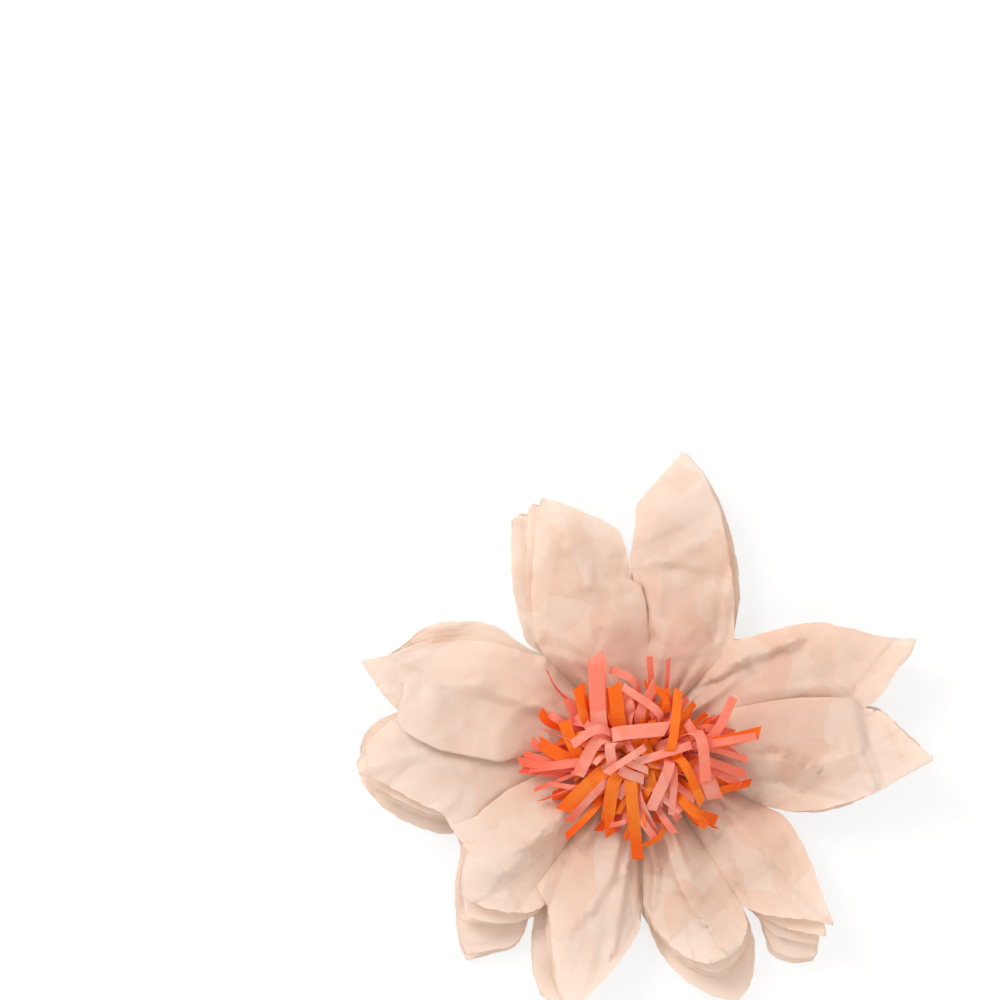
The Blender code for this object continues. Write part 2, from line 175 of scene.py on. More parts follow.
# start and end in pixels, height in mm, width of the flank on the left and on the right of the line in px
MAIN_CREASES = (
    # upper left petal: the panel beside its middle fold
    (557, 503, 569, 547, 2.2, 26, 9), (569, 547, 588, 585, 2.4, 24, 8), (588, 585, 600, 625, 2.2, 22, 7),
    (597, 572, 600, 640, -1.4, 4, 10), (548, 652, 586, 664, 1.6, 7, 18), (529, 606, 546, 660, 1.5, 5, 14),
    # top petal
    (650, 563, 668, 558, 2.0, 6, 12), (668, 558, 694, 543, 2.4, 6, 12), (669, 566, 704, 575, -1.8, 4, 20),
    (663, 580, 652, 626, 1.6, 10, 14), (643, 590, 652, 640, -2.4, 5, 9), (726, 569, 715, 638, -2.0, 7, 9),
    (678, 620, 691, 632, 1.3, 4, 6), (680, 640, 692, 628, 1.2, 4, 6), (684, 600, 690, 618, 1.0, 5, 7),
    # upper right petal: the strip rolled over along its upper edge
    (716, 678, 741, 662, 4.5, 22, 4), (741, 662, 784, 645, 4.5, 20, 4), (784, 645, 796, 641, 3.5, 14, 6),
    (806, 628, 812, 690, 1.5, 22, 7), (836, 634, 842, 684, 1.2, 12, 6), (752, 692, 838, 684, 1.6, 9, 14),
    # right petal: the trough below its upper edge, the bright fold and the band across
    (726, 750, 783, 754, 4.6, 5, 26), (783, 754, 810, 765, 4.4, 5, 22), (810, 765, 842, 753, 3.0, 5, 22),
    (844, 710, 857, 741, 2.8, 8, 10), (857, 741, 872, 780, 3.0, 8, 10), (746, 780, 775, 782, -1.6, 7, 5),
    (775, 782, 804, 792, -1.8, 7, 5), (804, 792, 846, 800, -1.6, 7, 5), (880, 745, 925, 757, 1.6, 10, 10),
    # lower right petals: outer flap, middle fold and the bright pleat edge
    (728, 810, 769, 857, 2.6, 26, 7), (769, 857, 822, 912, 2.6, 22, 7), (726, 822, 729, 863, -1.8, 7, 10),
    (729, 863, 747, 912, -1.8, 7, 10), (659, 822, 669, 855, 3.4, 34, 5), (669, 855, 681, 888, 3.4, 34, 5),
    (681, 888, 702, 920, 3.2, 26, 5), (702, 920, 720, 944, 2.4, 18, 5), (691, 871, 708, 847, 1.2, 8, 8),
    # the narrow pleats between the two lower fans
    (646, 834, 655, 868, 4.0, 7, 4), (655, 868, 652, 905, 4.0, 7, 4), (632, 830, 626, 872, 3.6, 5, 9),
    (626, 872, 612, 949, 3.0, 6, 12), (640, 836, 641, 900, -3.0, 4, 4),
    # lower left petals
    (517, 817, 562, 805, 2.0, 5, 16), (558, 826, 532, 842, 3.0, 9, 28), (532, 842, 508, 868, 3.0, 9, 28),
    (571, 826, 566, 863, -1.8, 9, 6), (566, 863, 548, 907, -2.0, 9, 6), (619, 842, 612, 872, 2.2, 8, 16),
    (612, 872, 590, 907, 2.2, 8, 16), (590, 907, 566, 930, 1.8, 8, 14), (600, 930, 580, 990, 1.4, 9, 12),
    # left petals
    (374, 766, 425, 750, 1.4, 14, 9), (425, 750, 470, 768, 1.6, 10, 14), (470, 768, 515, 790, 1.4, 9, 12),
    (416, 677, 435, 684, 2.4, 5, 18), (435, 684, 482, 682, 2.6, 5, 18), (482, 682, 520, 700, 1.8, 7, 12),
    (411, 649, 452, 641, -1.2, 6, 9), (500, 715, 545, 700, 1.4, 7, 9), (388, 690, 428, 712, 1.2, 9, 12),
)


def creases(pixels, table):
    """Sum of tents: each falls from its height on its line to zero at one width left of it and another right.

    The distance is taken to the whole line segment, so a tent also ends in a rounded slope.
    """
    total = np.zeros(pixels.shape[:-1])
    for x0, y0, x1, y1, height, left, right in table:
        start = np.array((x0, y0), float)
        along = np.array((x1 - x0, y1 - y0), float)
        away = pixels - start
        share = np.clip(away @ along / (along @ along), 0.0, 1.0)
        distance = np.linalg.norm(away - share[..., None] * along, axis=-1)
        on_left = along[0] * away[..., 1] - along[1] * away[..., 0] < 0
        tent = np.clip(1 - distance / np.where(on_left, left, right), 0.0, None)
        total += CREASE_GAIN * height / 1000 * tent
    return total


def handled_paper(seed, count, lengths, heights, steep, gentle):
    """A seeded table of creases, each with one steep and one gentle flank. Most run roughly outwards.

    Every range is a pair: half lengths in px, heights in mm, and the widths of the two flanks in px.
    """
    rng = np.random.default_rng(seed)
    angle = rng.uniform(0, 360, count)
    middle = FLOWER_CENTRE + polar(-angle, rng.uniform(75, 280, count))
    across = rng.random(count) < 0.3
    way = np.radians(-angle + rng.normal(0, 24, count) + 80 * across)
    half = rng.uniform(*lengths, count)[:, None] * np.stack((np.cos(way), np.sin(way)), axis=-1)
    height = rng.choice((-1, 1), count) * rng.uniform(*heights, count)
    flanks = np.column_stack((rng.uniform(*steep, count), rng.uniform(*gentle, count)))
    flanks = np.where(rng.random((count, 1)) < 0.5, flanks, flanks[:, ::-1])
    return np.column_stack((middle - half, middle + half, height, flanks))


LONG_CREASES = handled_paper(7, 130, (16, 48), (0.35, 1.15), (2.5, 5), (12, 38))
SHORT_CREASES = handled_paper(19, 300, (5, 18), (0.12, 0.45), (2, 5), (4, 10))
CREASES = np.concatenate((np.array(MAIN_CREASES, float), LONG_CREASES, SHORT_CREASES))
print(len(MAIN_CREASES), "main creases,", len(LONG_CREASES), "long and", len(SHORT_CREASES), "short ones")

# %% [markdown]
# The heights of a sheet repeat the CAD's formula. A valley fold rises slowly outwards, more on the upper
# sheets, and a ridge fold stands above it between two valleys, highest a third of the way out. On top of
# that come a slow ripple and the creases. All five sheets share one field, so they never cross.

# %% Heights of a petal sheet
RIDGE_HEIGHT = 0.0213
RIDGE_FULL_RADIUS = 0.080
RIDGE_END_RADIUS = 0.200
TIP_CREASE = 0.006
PANEL_WIDTH = 0.050
RIDGE_SHARPNESS = 0.40
SETTLE_RADIUS = 0.024
LAYER_SPREAD = 0.034
LAYER_RISE = 0.0035
GATHERS = 4
GATHER_DEPTH = 0.0090
# the gathers are full from the first of these radii, and begin to run out at the second
GATHER_RADII = (0.030, 0.045)


def ridge(radius):
    """Height of the ridge folds: a squared quarter sine to the full radius, then a smooth fall."""
    rise = np.sin(np.minimum(1.0, radius / RIDGE_FULL_RADIUS) * np.pi / 2) ** 2
    fall = smooth((radius - RIDGE_FULL_RADIUS) / (RIDGE_END_RADIUS - RIDGE_FULL_RADIUS))
    return rise * (RIDGE_HEIGHT * (1 - fall) + TIP_CREASE * fall)


def lift(layer, radius):
    """Height of the valley folds: down to the table, plus a part that grows with layer and radius."""
    base = waist_height(layer) - BUNDLE_BOTTOM * smooth(radius / SETTLE_RADIUS)
    return base + layer * (LAYER_SPREAD * radius + LAYER_RISE * (radius / RIDGE_END_RADIUS) ** 2)


def arch(angle, radius, first, second, ridge_at):
    """One on the ridge fold and zero in the two valleys: a blend of the 0.8th power of a cosine and a tent.

    The tent gives the fold its sharp line. The ridge lies somewhere between the petal's middle and its tip.
    """
    reach = np.degrees(np.arcsin(np.minimum(1.0, PANEL_WIDTH / np.maximum(radius, PANEL_WIDTH))))
    ridge_at = (ridge_at + (first + second) / 2) / 2
    half = np.where((angle - ridge_at) * (second - first) > 0, abs(second - ridge_at), abs(ridge_at - first))
    share = np.clip(np.abs(angle - ridge_at) / np.minimum(half, reach), 0, 1)
    return (1 - RIDGE_SHARPNESS) * np.cos(share * np.pi / 2) ** 0.8 + RIDGE_SHARPNESS * (1 - share)


def gathers(angle, radius, first, second):
    """Narrow uneven pleats near the tie, four to a petal: squared sines that run out at its middle."""
    across = np.clip((angle - first) / (second - first), 0, 1)
    across = across + 0.06 * np.sin(np.pi * across) * np.sin(first + 9 * across)
    uneven = 0.65 + 0.35 * np.sin(3.1 * np.floor(GATHERS * across) + 0.7 * first)
    full, fading = GATHER_RADII
    end = 1 - smooth((radius - fading) / (fading + fading * uneven))
    depth = GATHER_DEPTH * smooth(radius / full) * end
    return uneven * depth * np.sin(np.pi * GATHERS * across) ** 2


def ripple(x, y):
    """Slow ripple of the paper: three crossed sine waves, 55 to 130 mm long, under 1 mm high each."""
    return (
        0.0009 * np.sin(2 * np.pi * (x / 0.093 + y / 0.137) + 1.0)
        + 0.0007 * np.sin(2 * np.pi * (x / 0.071 - y / 0.059) + 2.6)
        + 0.0008 * np.sin(2 * np.pi * (x / 0.190 - y / 0.083) + 4.1)
    )


# %% [markdown]
# Where one petal leans over its neighbour, the front sheet bulges past the fold and hides it, and that
# edge throws the soft shadow that parts the two petals. The columns beside the fold are carried over it
# and raised, and then run back to the ridge. Only the front sheet does so.

# %% Overhanging petals
# fold direction: the side that leans over (1 towards larger angles), the rise for each length that it leans
# over, and the reach past the fold in px by radius in px
OVERHANGS = {
    170.0: (1, 0.32, (40, 80, 110, 140, 170, 200, 222, 244), (0, 9, 18, 29, 27, 24, 16, 4)),
    11.0: (1, 0.24, (25, 50, 78, 102, 140, 167, 210, 228), (0, 6, 15, 20, 19, 16, 6, 0)),
    201.8: (-1, 0.24, (30, 60, 100, 137, 161, 190), (0, 6, 14, 12, 4, 0)),
    92.6: (-1, 0.18, (20, 40, 70, 100, 150, 176), (0, 10, 15, 13, 8, 0)),
}
OVERHANG_CREST = 0.25


def overhang(fold, beside, half_angle, radius):
    """Turn in degrees and lift in metres near a fold, with `beside` 0 on the fold and 1 on the ridge.

    A quarter sine takes the columns out to the crest, a quarter of the way in, and a smooth step back.
    """
    way, rise, radii, reaches = OVERHANGS[fold]
    reach = np.interp(radius / PIXEL, radii, reaches, left=0.0, right=0.0) * PIXEL
    width = reach + OVERHANG_CREST * np.radians(half_angle) * radius * smooth(reach / (4 * PIXEL))
    bulge = np.where(
        beside < OVERHANG_CREST,
        np.sin(np.clip(beside / OVERHANG_CREST, 0, 1) * np.pi / 2),
        1 - smooth((beside - OVERHANG_CREST) / (1 - OVERHANG_CREST)),
    )
    return way * np.degrees(width / np.maximum(radius, PIXEL)) * bulge, rise * width * bulge


# %% [markdown]
# A petal is a grid. Its rows run from the waist out to the tip and its columns from one edge to the
# other, closer together near the folds, where the paper turns fastest. Neighbouring petals have the same
# points on the fold they share, as far as the notch, and those are welded.

# %% Edges of a petal
# rows up to the notch, rows beyond it, and columns in each half
FRONT_GRID = (46, 52, 24)
OTHER_GRID = (30, 34, 16)
WAIST_ROW_SHARE = 0.12
# under the fringe, the first part of the way to the notch, a few rows are enough
HIDDEN_SHARE = 0.36
HIDDEN_ROWS = 7
# the cut edges waver by this much
RAGGED = 0.0006
# and the outline stops this far along, which leaves the tip a little blunt
BLUNT_TIP = 0.985


def row_steps(inner):
    """Shares of the way to the notch, wide apart under the fringe and close together outside it."""
    hidden = np.linspace(0, HIDDEN_SHARE, HIDDEN_ROWS, endpoint=False)
    return np.concatenate((hidden, np.linspace(HIDDEN_SHARE, 1, inner + 1 - HIDDEN_ROWS)))


def along_line(points, shares):
    """Points at shares of the length of a broken line, its corners rounded off a little."""
    points = np.asarray(points, float)
    steps = np.linalg.norm(np.diff(points, axis=0), axis=1)
    lengths = np.concatenate(((0.0,), np.cumsum(steps))) / steps.sum()
    line = np.stack([np.interp(shares, lengths, points[:, i]) for i in (0, 1)], axis=-1)
    for _ in range(3):
        line[1:-1] = (line[:-2] + 2 * line[1:-1] + line[2:]) / 4
    return line


def petal_edge(fold, front, back, share, stray, waist, aside, inner, outer):
    """One edge of a petal: out along the fold to the notch, then along the mixed outlines to the tip."""
    notch = polar(fold[0], fold[1]) + aside
    shares = np.linspace(0, BLUNT_TIP, outer + 1)
    of_front = along_line([notch, *plan(front)], shares)
    of_back = along_line([notch, *plan(back)], shares)
    outside = of_front + (of_back - of_front) * share
    slow, fast = 23 * shares + 9 * stray, 61 * shares + 5 * fold[0]
    wave = np.stack([np.sin(slow + i) * np.sin(fast + i) for i in (0, 2)], axis=-1)
    outside = outside + RAGGED * wave * (smooth(shares * 5) * np.sin(np.pi * shares) ** 0.5)[:, None]
    bend = np.radians(stray) * smooth(shares * 2)[:, None]
    outside = outside * np.cos(bend) + outside[:, ::-1] * np.sin(bend) * (-1, 1)
    steps = row_steps(inner)[:, None]
    inside = polar(fold[0], fold[1]) * steps + aside
    first = polar(fold[0], fold[1]) * WAIST_ROW_SHARE + aside
    inside = np.where(steps < WAIST_ROW_SHARE, waist + (first - waist) * steps / WAIST_ROW_SHARE, inside)
    return np.concatenate((inside, outside[1:]))


# %% [markdown]
# Between its two edges the petal's columns are blends of an edge and the middle line. Then every vertex
# gets its height from the functions above, and the edges of the front sheet lean over their neighbours.

# %% Petal grids
# the ripple and the creases set in between these radii, since the tie holds the paper flat
FREE_RADII = (0.022, 0.067)
# height of the curl along the cut edges
EDGE_CURL = 0.0022


def petal_plan(edge_a, edge_b, waist, inner, half):
    """Plan points by rows and columns, and the place of each column: -1 on the first edge, 1 on the second.

    The middle column runs straight out to the tip. A quarter sine sets the columns closer near the edges.
    """
    tip = (edge_a[-1] + edge_b[-1]) / 2
    way = tip / np.linalg.norm(tip)
    middle = way * ((edge_a + edge_b) @ way / 2)[:, None]
    steps = (row_steps(inner) / WAIST_ROW_SHARE)[:, None]
    near = steps[:, 0] < 1
    start = (waist[0] + waist[1]) / 2
    anchor = middle[: inner + 1][~near][0]
    middle[: inner + 1][near] = start + (anchor - start) * steps[near]
    place = np.sin(np.pi / 2 * np.arange(-half, half + 1) / half)
    to_a, to_b = (np.maximum(sign * place, 0)[None, :, None] for sign in (-1, 1))
    return middle[:, None] + (edge_a - middle)[:, None] * to_a + (edge_b - middle)[:, None] * to_b, place


def closed_up(layer, angle, radius, edge):
    """Lift that brings the lower sheets' edges at six o'clock up to lie close under the front one."""
    near = smooth(1 - np.abs(angle - edge) / EDGE_SPAN) * smooth(radius / EDGE_START)
    gap = lift(FRONT, radius) - lift(layer, radius) - EDGE_PITCH * (FRONT - layer)
    return near * np.maximum(gap, 0)


def edge_curl(layer, number, rows, place):
    """Waves along the cut edges: a fifth power across the petal times a sine along its outer half."""
    row_share = np.arange(rows)[:, None] / (rows - 1)
    wave = np.sin(7.3 * number + 2.1 * layer + 9.0 * row_share + 2.0 * np.sign(place))
    return EDGE_CURL * np.abs(place) ** 5 * smooth((row_share - 0.5) / 0.3) * wave


def petal_grid(side, layer, number, waist):
    """Vertices of one petal as an array of rows and columns."""
    fold_a, fold_b = VALLEYS[side][number : number + 2]
    front_a, front_b, back_a, back_b, height = PETALS[side][number]
    inner, outer, half = FRONT_GRID if layer == FRONT else OTHER_GRID
    if number == 0:
        fold_a = (fold_a[0] + side * EDGE_TURN[side][layer], fold_a[1])
    share, stray = STRAY[(1 - side) // 2, number, layer]
    share = np.clip(BACK_SHARE[layer] + share, 0, 1)
    gap = np.array((side * FAN_GAP / 2, 0.0))
    edge_a = petal_edge(fold_a, front_a, back_a, share, stray, waist[0], gap * (number == 0), inner, outer)
    edge_b = petal_edge(fold_b, front_b, back_b, share, stray, waist[1], gap * (number == 4), inner, outer)
    grid, place = petal_plan(edge_a, edge_b, waist, inner, half)
    x, y = grid[..., 0], grid[..., 1]
    radius = np.hypot(x, y)
    angle = np.degrees(np.arctan2(y, x))
    if side < 0:
        angle = angle % 360
    first, second = fold_a[0], fold_b[0]
    tip_angle = np.degrees(np.arctan2(*plan(front_a[-1])[::-1])) % 360
    tip_angle -= 360 * (tip_angle - first > 180)
    pixels = np.stack((x, -y), axis=-1) / PIXEL + FLOWER_CENTRE
    free = smooth((radius - FREE_RADII[0]) / (FREE_RADII[1] - FREE_RADII[0]))
    z = lift(layer, radius) + ridge(radius) * height * arch(angle, radius, first, second, tip_angle)
    z += gathers(angle, radius, first, second)
    z += free * (ripple(x, y) + creases(pixels, CREASES))
    if number == 0 and 0 < layer < FRONT:
        z += closed_up(layer, angle, radius, first)
    z += edge_curl(layer, number, len(grid), place)
    for fold, edge in ((first, -1), (second, 1)):
        if layer < FRONT or fold not in OVERHANGS:
            continue
        if np.sign(fold - (first + second) / 2) == OVERHANGS[fold][0]:
            beside = np.where(np.sign(place) == edge, 1 - np.abs(place), 1.0)
            turn, up = overhang(fold, beside, abs(second - first) / 2, radius)
            angle, z = angle + turn, z + up
    flat = polar(angle, radius)
    z = np.maximum(z, PAPER + layer * PITCH)
    flat[0], z[0] = grid[0], waist_height(layer)
    return np.concatenate((flat, z[..., None]), axis=-1)


# %% [markdown]
# A sheet is the ten petals and the flat strip between the two waists. It gets quads between neighbouring
# rows and columns, wound so that both fans face up.

# %% Whole sheets
def petal_sheet(layer):
    """Both fans of one sheet as vertices and quads, welded along the folds and at the waist."""
    vertices, faces = [], []
    count = 0
    across = np.linspace(-WAIST_WIDTH / 2, WAIST_WIDTH / 2, 6)
    for side in (1, -1):
        for number in range(5):
            waist = [np.array((side * waist_end(layer), across[number + i])) for i in (0, 1)]
            grid = petal_grid(side, layer, number, waist)
            rows, columns = grid.shape[:2]
            index = np.arange(rows * columns).reshape(rows, columns) + count
            quads = np.stack((index[:-1, :-1], index[1:, :-1], index[1:, 1:], index[:-1, 1:]), axis=-1)
            quads = quads.reshape(-1, 4)
            faces.append(quads if side > 0 else quads[:, ::-1])
            vertices.append(grid.reshape(-1, 3))
            count += rows * columns
            if side > 0:
                middle_start = index[0]
                vertices.append(grid[0] * (-1, 1, 1))
                other = np.arange(columns) + count
                count += columns
                faces.append(np.stack((other[:-1], middle_start[:-1], middle_start[1:], other[1:]), axis=-1))
    return np.concatenate(vertices), np.concatenate(faces)


# %% [markdown]
# One helper puts arrays into a mesh object at the origin, merges the vertices that lie on each other along the
# folds, gives it its material and its body, and hides the CAD node that it stands for.

# %% Object helper
WELD = 0.00002


def add_piece(name, vertices, faces, material, node, thickness=None):
    """A mesh object from arrays of vertices and quads, welded, shaded smooth, riding on the one body."""
    data = bpy.data.meshes.new(name)
    data.from_pydata(vertices.tolist(), [], faces.tolist())
    mesh = bmesh.new()
    mesh.from_mesh(data)
    bmesh.ops.remove_doubles(mesh, verts=mesh.verts, dist=WELD)
    bmesh.ops.recalc_face_normals(mesh, faces=mesh.faces)
    mesh.to_mesh(data)
    mesh.free()
    piece = bpy.data.objects.new(name, data)
    bpy.context.scene.collection.objects.link(piece)
    data.materials.append(material)
    data.polygons.foreach_set("use_smooth", np.ones(len(data.polygons), bool))
    if thickness:
        wall = piece.modifiers.new("Paper thickness", "SOLIDIFY")
        wall.thickness = thickness
        wall.offset = 0.0
        wall.use_even_offset = False
    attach(piece, "root")
    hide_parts(node)
    print(name, len(data.vertices), "vertices")
    return piece


# %% [markdown]
# Tissue paper is a thin felt of soft wood fibres. It scatters light both ways, so it is matt, lets the light
# through to the sheet behind it, and shows cloudy patches where the fibres lie thicker. The colour follows the
# distance from the flower's axis: the petals are pinkish beside the fringe, partly painted bounce light from
# its strips, and paler towards their thin tips, a painted glow of light through the paper. A Principled
# surface mixed with a Translucent one gives the light that comes through.

# %% Node helpers
def linear(code):
    """A colour written as sRGB hex, turned to linear values with an alpha of one."""
    values = np.array([int(code[i : i + 2], 16) for i in (0, 2, 4)]) / 255
    return (*np.where(values <= 0.04045, values / 12.92, ((values + 0.055) / 1.055) ** 2.4), 1.0)


def add_node(tree, kind, settings=(), inputs=(), links=()):
    """Adds a node, sets its properties and sockets, and links (socket, from-socket) pairs into it."""
    node = tree.nodes.new(kind)
    for name, value in dict(settings).items():
        setattr(node, name, value)
    for name, value in dict(inputs).items():
        node.inputs[name].default_value = value
    for name, source in dict(links).items():
        tree.links.new(source, node.inputs[name])
    return node


# %% [markdown]
# Flat patches three or four centimetres wide, where the paper lies at another angle or doubled, show in the
# way the surface leans and in the colour. The colour is partly the tone of doubled paper and partly painted
# shade of the tilted facets. Fibre clouds and fibres blur the colour, and ridges of noise make fine sharp
# wrinkles. The patches and noises are kept simple, because the light crosses many sheets.

# %% Tissue textures
# patches for each metre, and how far noise bends their borders
PATCHES = 30
PATCH_BEND = (0.02, 0.02, 0)
# how much a patch (partly painted shade) and the lower left side (painted light) shift the colour to that of
# the tips
PATCH_TONE_AND_SHADE = 0.07
PAINTED_SIDE_LIGHT = (-0.16, -0.12, 0)
CLOUDS = {"Scale": 70, "Detail": 2, "Roughness": 0.6}
FIBRES = {"Scale": 900, "Detail": 1, "Roughness": 0.7}
# wrinkles for each metre, and their height in metres
WRINKLES = ((34, 0.0010), (85, 0.0004))
RAMP_LENGTH = 0.25


def patches(tree, place, plane):
    """A random colour for each patch, and the vector from its middle: Voronoi cells with bent borders."""
    noise = {"Scale": PATCHES, "Detail": 0}
    bent = add_node(tree, "ShaderNodeTexNoise", {"noise_dimensions": "2D"}, noise, {"Vector": place})
    bend = {0: bent.outputs["Color"]}
    bent = add_node(tree, "ShaderNodeVectorMath", {"operation": "MULTIPLY"}, {1: PATCH_BEND}, bend)
    bent = add_node(tree, "ShaderNodeVectorMath", {"operation": "ADD"}, links={0: plane, 1: bent.outputs[0]})
    bent = bent.outputs[0]
    kind = {"voronoi_dimensions": "2D"}
    cell = add_node(tree, "ShaderNodeTexVoronoi", kind, {"Scale": PATCHES}, {"Vector": bent})
    ends = {0: bent, 1: cell.outputs["Position"]}
    local = add_node(tree, "ShaderNodeVectorMath", {"operation": "SUBTRACT"}, links=ends)
    return cell.outputs["Color"], local.outputs[0]


def paper_colour(tree, place, plane, patch, stops, painted_low_glow):
    """Distance from the axis plus three shifts, looked up in the stops, then the low colour by height, a
    painted glow.
    """
    away = add_node(tree, "ShaderNodeVectorMath", {"operation": "LENGTH"}, links={0: plane})
    cloud = add_node(tree, "ShaderNodeTexNoise", inputs=CLOUDS, links={"Vector": place})
    fibre = add_node(tree, "ShaderNodeTexNoise", inputs=FIBRES, links={"Vector": place})
    both = {0: fibre.outputs[0], 2: cloud.outputs[0]}
    both = add_node(tree, "ShaderNodeMath", {"operation": "MULTIPLY_ADD"}, {1: 0.5}, both)
    shift = {"operation": "MULTIPLY_ADD"}
    shift = add_node(tree, "ShaderNodeMath", shift, {1: 0.10, 2: -0.075}, {0: both.outputs[0]})
    # painted light: the colour shifts paler towards the lower left, a lighter side painted in
    aside = add_node(tree, "ShaderNodeVectorMath", {"operation": "DOT_PRODUCT"}, {1: PAINTED_SIDE_LIGHT}, {0: place})
    # partly painted shade: each patch shifts the colour the way a facet at another angle would be lit
    tint = add_node(tree, "ShaderNodeSeparateXYZ", links={0: patch})
    total = away.outputs["Value"]
    terms = ((shift.outputs[0], 1), (aside.outputs["Value"], 1), (tint.outputs["Z"], PATCH_TONE_AND_SHADE))
    for value, weight in terms:
        links = {0: value, 2: total}
        total = add_node(tree, "ShaderNodeMath", {"operation": "MULTIPLY_ADD"}, {1: weight}, links).outputs[0]
    span = add_node(tree, "ShaderNodeMapRange", inputs={"From Max": RAMP_LENGTH}, links={"Value": total})
    ramp = add_node(tree, "ShaderNodeValToRGB", links={0: span.outputs[0]})
    marks = ramp.color_ramp.elements
    for i, (distance, code) in enumerate(stops):
        mark = marks[i] if i < 2 else marks.new(1.0)
        mark.position = distance / 1000 / RAMP_LENGTH
        mark.color = linear(code)
    # painted light: down in the flower the colour turns to that of light come through the paper, paler on the
    # low petal sheets and redder deep in the fringe
    code, top, bottom = painted_low_glow
    height = add_node(tree, "ShaderNodeSeparateXYZ", links={0: place}).outputs["Z"]
    down = {"From Min": top, "From Max": bottom}
    down = add_node(tree, "ShaderNodeMapRange", inputs=down, links={"Value": height})
    dye_and_painted_light = add_node(tree, "ShaderNodeMix", {"data_type": "RGBA"}, links={0: down.outputs[0]})
    dye_and_painted_light.inputs["B"].default_value = linear(code)
    tree.links.new(ramp.outputs["Color"], dye_and_painted_light.inputs["A"])
    return dye_and_painted_light.outputs["Result"]


def wrinkled(tree, place, patch, local, facets):
    """Bump normal: each patch tilted its own way by the slope `facets`, and sharp ridges of noise on it."""
    slope = add_node(tree, "ShaderNodeVectorMath", {"operation": "SUBTRACT"}, {1: (0.5, 0.5, 0.5)}, {0: patch})
    both = {0: local, 1: slope.outputs[0]}
    tilt = add_node(tree, "ShaderNodeVectorMath", {"operation": "DOT_PRODUCT"}, links=both).outputs["Value"]
    height = add_node(tree, "ShaderNodeMath", {"operation": "MULTIPLY"}, {1: facets}, {0: tilt}).outputs[0]
    for scale, weight in WRINKLES:
        fine = {"Scale": scale, "Detail": 1}
        noise = add_node(tree, "ShaderNodeTexNoise", inputs=fine, links={"Vector": place})
        level = add_node(tree, "ShaderNodeMath", {"operation": "SUBTRACT"}, {1: 0.5}, {0: noise.outputs[0]})
        fold = add_node(tree, "ShaderNodeMath", {"operation": "ABSOLUTE"}, links={0: level.outputs[0]})
        links = {0: fold.outputs[0], 2: height}
        height = add_node(tree, "ShaderNodeMath", {"operation": "MULTIPLY_ADD"}, {1: weight}, links)
        height = height.outputs[0]
    strength = {"Strength": 0.6, "Distance": 1.0}
    return add_node(tree, "ShaderNodeBump", inputs=strength, links={"Height": height}).outputs[0]


# %% [markdown]
# The petals are peach, pinker beside the fringe partly from painted bounce light. The fringe's two dyes have
# painted light in them: lighter towards the middle of the crowd, and redder down in it, where the light has
# passed through several strips.

# %% Tissue material
def tissue(name, stops, painted_low_glow, through, share, facets):
    """Dyed tissue with painted light. `stops` are (distance from the axis in mm, colour) and `through` is the
    light let past.

    The low colour, a painted glow of light come through the paper, takes over down in the flower between the
    two heights in metres given with it, where it starts and where it is full. `share` is the part of the light
    that comes through.
    """
    material = bpy.data.materials.new(name)
    material.use_nodes = True
    tree = material.node_tree
    tree.nodes.clear()
    place = add_node(tree, "ShaderNodeTexCoord").outputs["Object"]
    plane = add_node(tree, "ShaderNodeVectorMath", {"operation": "MULTIPLY"}, {1: (1, 1, 0)}, {0: place})
    plane = plane.outputs[0]
    patch, local = patches(tree, place, plane)
    dye_and_painted_light = paper_colour(tree, place, plane, patch, stops, painted_low_glow)
    normal = wrinkled(tree, place, patch, local, facets)
    matt = {"Roughness": 0.8, "Specular IOR Level": 0.3}
    links = {"Base Color": dye_and_painted_light, "Normal": normal}
    surface = add_node(tree, "ShaderNodeBsdfPrincipled", inputs=matt, links=links)
    glow = {"Color": linear(through)}
    glow = add_node(tree, "ShaderNodeBsdfTranslucent", inputs=glow, links={"Normal": normal})
    mix = {1: surface.outputs[0], 2: glow.outputs[0]}
    mix = add_node(tree, "ShaderNodeMixShader", inputs={0: share}, links=mix)
    add_node(tree, "ShaderNodeOutputMaterial", links={"Surface": mix.outputs[0]})
    return material


# painted light: the stops turn paler out to the tips, a painted glow through the thin paper, and pinker beside
# the fringe, partly painted bounce light
peach = tissue(
    "Peach tissue paper, dyed",
    ((60, "FAD3C0"), (120, "F9DAC7"), (170, "FCE6D6"), (205, "FEEDE0"), (250, "FFF4EA")),
    ("FFF3E8", 0.026, 0.008), "FFF0E4", 0.48, 0.26,
)
# painted light: lighter towards the middle of the crowd and redder down in it
orange = tissue(
    "Orange tissue paper, dyed", ((0, "FFAC4A"), (60, "FFA03A"), (110, "FF8626")),
    ("FF4C0C", 0.062, 0.034), "FF7C1C", 0.46, 0.05,
)
salmon = tissue(
    "Salmon tissue paper, dyed", ((0, "FFD2C0"), (60, "FFC6B0"), (110, "FFA488")),
    ("FF4E22", 0.062, 0.036), "FF9068", 0.46, 0.05,
)
cream = tissue(
    "Cream paper band", ((0, "E8DACB"), (20, "DCCBB9")), ("DCCBB9", 0.01, 0.0), "F0E2D2", 0.10, 0.0,
)

# %% [markdown]
# The five petal sheets are built from the back one to the front one. The real ones were cut from pleated
# tissue.

# %% Petal sheets
for layer in range(PETAL_LAYERS):
    vertices, faces = petal_sheet(layer)
    node = f"petal_sheet_{layer + 1}"
    sheet = add_piece(f"petals_{layer + 1}", vertices, faces, peach, node, PAPER)

# %% [markdown]
# The fringe is what the eye goes to. Each strip leaves the tie, rises in the crowd and bends over to
# where the picture shows it. The strips that can be told apart are placed one by one: the point where
# each comes into view, its tip, its width and both heights. The rest fill the depths in all directions.

